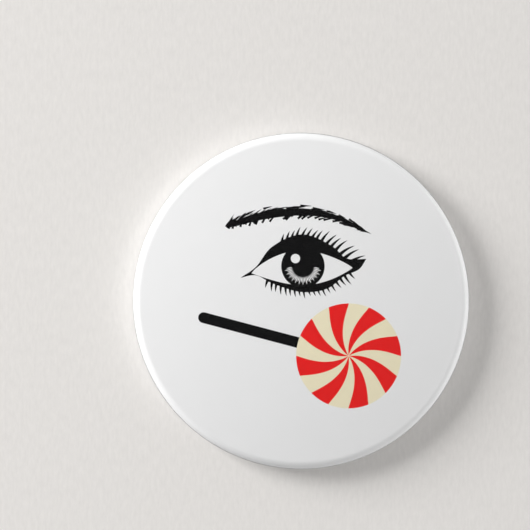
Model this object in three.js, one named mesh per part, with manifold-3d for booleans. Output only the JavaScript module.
// Pin-back button badge, 76.2 mm across, lying on its back with the printed face up.
//
// Millimetres. The origin is at the centre of the plane the badge rests on, +Z points out of the
// face and +Y points to the top of the picture.
//
// A pressed steel shell, a printed paper disc and a clear film are stacked and folded together
// round the rim. A dished back plate with a rolled bead holds the fold from behind. One spring
// wire is threaded through two slots in the plate: it makes a hairpin catch at one slot, and a
// coil and a pointed needle at the other. The wire is split in the middle of its coil, so that
// the needle can turn.

import * as THREE from "three";
import { mergeVertices } from "three/addons/utils/BufferGeometryUtils.js";
import Module from "manifold-3d";

// Driving dimensions of the face and its rim
const BADGE_RADIUS = 38.1;
const BADGE_HEIGHT = 7.6;
const DOME_RADIUS = 296;
const EDGE_RADIUS = 2.1;
const FOLD_RADIUS = 0.625;
const FOLD_BOTTOM = 0.35;
const TUCK_LENGTH = 0.5;

// Thickness of each sheet, from the outside in, with the clearance left between two sheets
const FILM_THICKNESS = 0.08;
const PAPER_THICKNESS = 0.12;
const SHELL_THICKNESS = 0.28;
const SHEET_CLEARANCE = 0.03;
const SHELL_EDGE_ANGLE = -150;

// Back plate
const PLATE_THICKNESS = 0.3;
const FLOOR_RADIUS = 28.1;
const FLOOR_HEIGHT = 4.3;
const WALL_END_RADIUS = 35.05;
const WALL_END_HEIGHT = 1.0;
const BEAD_INNER_RADIUS = 35.5;
const COLLAR_RADIUS = 36.8;
const COLLAR_HEIGHT = 1.9;
const FLARE_RADIUS = 37.4;
const FLARE_HEIGHT = 2.15;

// Slots in the floor of the back plate, one at each end of the pin
const SLOT_WIDTH = 6.6;
const SLOT_HEIGHT = 4.3;
const SLOT_X = 13.9;
const SLOT_Y = 11.3;
const SLOT_TOP_CORNER = 0.8;
const SLOT_BOTTOM_CORNER = 1.9;

// Pin wire. The needle turns in the plane of +X and OPENING, about HINGE_AXIS.
const WIRE_RADIUS = 0.4;
const NEEDLE_Y = 10.8;
const NEEDLE_Z = 3.1;
const NEEDLE_TIP_X = 15.4;
const POINT_LENGTH = 6;
const POINT_RADIUS = 0.07;
const OPENING_TILT = 30;
const COIL_X = -14;
const COIL_RADIUS = 1.1;
const COIL_PITCH = 1.1;
const COIL_ARC = 270;
const CATCH_X = 14.35;
const CATCH_HALF_WIDTH = 1.85;
const CATCH_CLEARANCE = 1.15;
const CATCH_ARM_START = -1.5;
const CATCH_ARM_END = 1.0;
const HIDDEN_Z = 5.15;

const ROUND_SEGMENTS = 48;
const WIRE_SIDES = 8; // three.js draws a full circle with two sides for each curve segment
const WIRE_STEP = 0.55;

const wasm = await Module();
wasm.setup();

const radians = THREE.MathUtils.degToRad;

// Cross-sections of the sheets. A station is a point of a section with the normal of the sheet.

function station(x, y, nx, ny) {
  return { point: new THREE.Vector2(x, y), normal: new THREE.Vector2(nx, ny) };
}

// Stations along an arc, with the normals away from its centre
function arcStations(centre, radius, fromDegrees, toDegrees, steps) {
  const stations = [];
  for (let i = 0; i <= steps; i++) {
    const angle = radians(fromDegrees + ((toDegrees - fromDegrees) * i) / steps);
    const x = centre.x + radius * Math.cos(angle);
    const y = centre.y + radius * Math.sin(angle);
    stations.push(station(x, y, Math.cos(angle), Math.sin(angle)));
  }
  return stations;
}

// Stations along straight lines with rounded corners, with the normals to the right of travel.
// Each corner is [x, y, radius, steps]; the first and last have no radius.
function corneredStations(corners) {
  const stations = [];
  const places = corners.map(([x, y]) => new THREE.Vector2(x, y));
  corners.forEach(([x, y, radius, steps], i) => {
    const before = places[i].clone().sub(places[Math.max(i - 1, 0)]);
    const after = places[Math.min(i + 1, places.length - 1)].clone().sub(places[i]);
    if (!radius) {
      const way = (i ? before : after).normalize();
      stations.push(station(x, y, way.y, -way.x));
      return;
    }
    const headingIn = before.angle();
    const turn = Math.atan2(before.cross(after), before.dot(after));
    const side = Math.sign(turn);
    const start = places[i].clone().sub(before.setLength(radius * Math.tan(Math.abs(turn) / 2)));
    const toCentre = new THREE.Vector2(-Math.sin(headingIn), Math.cos(headingIn));
    const centre = start.add(toCentre.multiplyScalar(side * radius));
    for (let k = 0; k <= steps; k++) {
      const heading = headingIn + (turn * k) / steps;
      const right = new THREE.Vector2(Math.sin(heading), -Math.cos(heading));
      const point = centre.clone().add(right.clone().multiplyScalar(side * radius));
      stations.push(station(point.x, point.y, right.x, right.y));
    }
  });
  return stations;
}

// The closed section of a sheet between two depths below its stations, starting and ending on
// the axis
function sheetSection(stations, nearDepth, farDepth) {
  const at = (depth) =>
    stations.map(({ point, normal }) => {
      const moved = point.clone().addScaledVector(normal, -depth);
      return point.x === 0 ? new THREE.Vector2(0, moved.y) : moved;
    });
  return [...at(nearDepth), ...at(farDepth).reverse()];
}

// LatheGeometry turns about +Y, so its result is stood up to turn about +Z. Its faces point out
// when the section runs counter-clockwise.
function revolve(section) {
  const points = THREE.ShapeUtils.isClockWise(section) ? section.toReversed() : section;
  return new THREE.LatheGeometry(points, ROUND_SEGMENTS).rotateX(Math.PI / 2);
}

// Conversion between three.js geometries and manifold-3d solids

function toSolid(geometry) {
  const plain = geometry.clone();
  plain.deleteAttribute("normal");
  plain.deleteAttribute("uv");
  const merged = mergeVertices(plain, 1e-4);
  return new wasm.Manifold(
    new wasm.Mesh({
      numProp: 3,
      vertProperties: merged.attributes.position.array,
      triVerts: new Uint32Array(merged.index.array),
    }),
  );
}

function toGeometry(solid) {
  const { vertProperties, triVerts } = solid.getMesh();
  const geometry = new THREE.BufferGeometry();
  geometry.setAttribute("position", new THREE.BufferAttribute(vertProperties, 3));
  geometry.setIndex(new THREE.BufferAttribute(triVerts, 1));
  geometry.computeVertexNormals();
  return geometry;
}

// Face, wall and fold of the rim, seen as the outer surface of the film

const domeCentre = new THREE.Vector2(0, BADGE_HEIGHT - DOME_RADIUS);
const edgeX = BADGE_RADIUS - EDGE_RADIUS;
const edgeAngle = THREE.MathUtils.radToDeg(Math.acos(edgeX / (DOME_RADIUS - EDGE_RADIUS)));
const edgeRise = Math.sqrt((DOME_RADIUS - EDGE_RADIUS) ** 2 - edgeX ** 2);
const edgeCentre = new THREE.Vector2(edgeX, domeCentre.y + edgeRise);
const foldCentre = new THREE.Vector2(BADGE_RADIUS - FOLD_RADIUS, FOLD_BOTTOM + FOLD_RADIUS);

function faceStations(foldEndAngle) {
  const dome = arcStations(domeCentre, DOME_RADIUS, 90, edgeAngle, 3);
  dome[0].point.x = 0;
  return [
    ...dome,
    ...arcStations(edgeCentre, EDGE_RADIUS, edgeAngle, 0, 4).slice(1),
    ...arcStations(foldCentre, FOLD_RADIUS, 0, foldEndAngle, 4),
  ];
}

const PAPER_DEPTH = FILM_THICKNESS + SHEET_CLEARANCE;
const SHELL_DEPTH = PAPER_DEPTH + PAPER_THICKNESS + SHEET_CLEARANCE;

// A soft sheet goes round the whole fold and is tucked up between the shell and the collar
function wrappedSheet(depth, thickness) {
  const stations = faceStations(-180);
  const tuckEnd = foldCentre.y + TUCK_LENGTH;
  stations.push(station(foldCentre.x - FOLD_RADIUS, tuckEnd, -1, 0));
  return revolve(sheetSection(stations, depth, depth + thickness));
}

function frontShell() {
  const stations = faceStations(SHELL_EDGE_ANGLE);
  return revolve(sheetSection(stations, SHELL_DEPTH, SHELL_DEPTH + SHELL_THICKNESS));
}

// Back plate: flat floor, sloping wall, rolled bead, collar and a flare that locks in the shell

function slotOutline() {
  const outline = new THREE.Shape();
  const right = SLOT_WIDTH / 2;
  const top = SLOT_HEIGHT / 2;
  const roundAt = (sideX, sideY, radius, from) =>
    outline.absarc(
      sideX * (right - radius), sideY * (top - radius), radius, radians(from), radians(from + 90),
    );
  roundAt(1, 1, SLOT_TOP_CORNER, 0);
  roundAt(-1, 1, SLOT_TOP_CORNER, 90);
  roundAt(-1, -1, SLOT_BOTTOM_CORNER, 180);
  roundAt(1, -1, SLOT_BOTTOM_CORNER, 270);
  return outline;
}

function backPlate() {
  const stations = corneredStations([
    [0, FLOOR_HEIGHT],
    [FLOOR_RADIUS, FLOOR_HEIGHT, 0.8, 1],
    [WALL_END_RADIUS, WALL_END_HEIGHT, 0.4, 1],
    [BEAD_INNER_RADIUS, 0, 0.5, 2],
    [COLLAR_RADIUS, 0, 0.6, 3],
    [COLLAR_RADIUS, COLLAR_HEIGHT, 0.25, 1],
    [FLARE_RADIUS, FLARE_HEIGHT],
  ]);
  const section = sheetSection(stations, 0, PLATE_THICKNESS);
  let plate = toSolid(revolve(section));
  for (const side of [-1, 1]) {
    const slot = new THREE.ExtrudeGeometry(slotOutline(), {
      depth: 2,
      bevelEnabled: false,
      curveSegments: 3,
    });
    slot.translate(side * SLOT_X, SLOT_Y, FLOOR_HEIGHT - 1);
    plate = plate.subtract(toSolid(slot));
  }
  return toGeometry(plate);
}

// Pin wire

const OPENING = new THREE.Vector3(
  0, -Math.cos(radians(OPENING_TILT)), -Math.sin(radians(OPENING_TILT)),
);
const HINGE_AXIS = new THREE.Vector3(1, 0, 0).cross(OPENING);

// A point given along +X, OPENING and HINGE_AXIS from the line of the needle
function fromNeedle(x, opened, lifted) {
  return new THREE.Vector3(x, NEEDLE_Y, NEEDLE_Z)
    .addScaledVector(OPENING, opened)
    .addScaledVector(HINGE_AXIS, lifted);
}

function wireAlong(points) {
  const curve = new THREE.CatmullRomCurve3(points, false, "centripetal");
  const outline = new THREE.Shape();
  outline.absarc(0, 0, WIRE_RADIUS, 0, 2 * Math.PI);
  return new THREE.ExtrudeGeometry(outline, {
    extrudePath: curve,
    steps: Math.ceil(curve.getLength() / WIRE_STEP),
    curveSegments: WIRE_SIDES / 2,
    bevelEnabled: false,
  });
}

// Points of one flat turn of the coil. It starts on the side away from OPENING, and 90 degrees
// later it is on the -X side.
function coilTurn(lifted, fromDegrees, toDegrees) {
  const points = [];
  const steps = Math.round((toDegrees - fromDegrees) / 30);
  for (let i = 0; i <= steps; i++) {
    const angle = radians(fromDegrees + (i * (toDegrees - fromDegrees)) / steps);
    const x = COIL_X - COIL_RADIUS * Math.sin(angle);
    points.push(fromNeedle(x, -COIL_RADIUS - COIL_RADIUS * Math.cos(angle), lifted));
  }
  return points;
}

// The fixed part of the wire: free end, catch, hidden run and the first turns of the coil
function catchWire() {
  const outerX = CATCH_X + CATCH_HALF_WIDTH;
  const innerX = CATCH_X - CATCH_HALF_WIDTH;
  const slotY = SLOT_Y + SLOT_HEIGHT / 2 - 2 * WIRE_RADIUS;
  const runY = fromNeedle(0, -2 * COIL_RADIUS, -COIL_PITCH).y;
  const bend = [];
  for (let angle = 0; angle <= 180; angle += 30) {
    const x = CATCH_X + CATCH_HALF_WIDTH * Math.cos(radians(angle));
    const reach = CATCH_ARM_END + CATCH_HALF_WIDTH * Math.sin(radians(angle));
    bend.push(fromNeedle(x, reach, CATCH_CLEARANCE));
  }
  return wireAlong([
    new THREE.Vector3(outerX, slotY + 3.2, HIDDEN_Z + 0.2),
    new THREE.Vector3(outerX, slotY + 1.0, HIDDEN_Z + 0.2),
    new THREE.Vector3(outerX, slotY + 0.1, HIDDEN_Z - 0.25),
    new THREE.Vector3(outerX, slotY, FLOOR_HEIGHT),
    fromNeedle(outerX, CATCH_ARM_START, CATCH_CLEARANCE),
    ...bend,
    fromNeedle(innerX, CATCH_ARM_START, CATCH_CLEARANCE),
    new THREE.Vector3(innerX, slotY, FLOOR_HEIGHT),
    new THREE.Vector3(innerX - 0.4, slotY - 0.1, HIDDEN_Z - 0.25),
    new THREE.Vector3(innerX - 1.3, runY + 0.1, HIDDEN_Z),
    new THREE.Vector3(innerX - 3, runY, HIDDEN_Z),
    new THREE.Vector3(COIL_X + 4, runY, HIDDEN_Z),
    ...coilTurn(-COIL_PITCH, 0, COIL_ARC),
  ]);
}

// The moving part: the last turn of the coil, then the straight needle with its ground point
function needle() {
  const turn = coilTurn(0, 180 - COIL_ARC, 180);
  const tip = fromNeedle(NEEDLE_TIP_X, 0, 0);
  const joinX = COIL_X + 3;
  const geometry = wireAlong([...turn, fromNeedle(joinX, 0, 0), tip]);
  const position = geometry.attributes.position;
  for (let i = 0; i < position.count; i++) {
    const alongPoint = (NEEDLE_TIP_X - position.getX(i)) / POINT_LENGTH;
    if (alongPoint < 1) {
      const width = THREE.MathUtils.lerp(POINT_RADIUS / WIRE_RADIUS, 1, Math.sqrt(alongPoint));
      position.setY(i, NEEDLE_Y + (position.getY(i) - NEEDLE_Y) * width);
      position.setZ(i, NEEDLE_Z + (position.getZ(i) - NEEDLE_Z) * width);
    }
  }
  return geometry;
}

// Assembly

function addMesh(group, name, geometry, color, roughness, metalness) {
  const material = new THREE.MeshStandardMaterial({ color, roughness, metalness });
  const mesh = new THREE.Mesh(geometry, material);
  mesh.name = name;
  group.add(mesh);
}

const badge = new THREE.Group();
addMesh(badge, "front_shell", frontShell(), 0xb9babb, 0.35, 1);
addMesh(badge, "printed_disc", wrappedSheet(PAPER_DEPTH, PAPER_THICKNESS), 0xf4f3f1, 0.7, 0);
addMesh(badge, "clear_film", wrappedSheet(0, FILM_THICKNESS), 0xffffff, 0.12, 0);
addMesh(badge, "back_plate", backPlate(), 0xc4c4c2, 0.3, 1);
addMesh(badge, "catch_wire", catchWire(), 0xd2d3d4, 0.18, 1);
addMesh(badge, "needle", needle(), 0xd2d3d4, 0.18, 1);

export default badge;
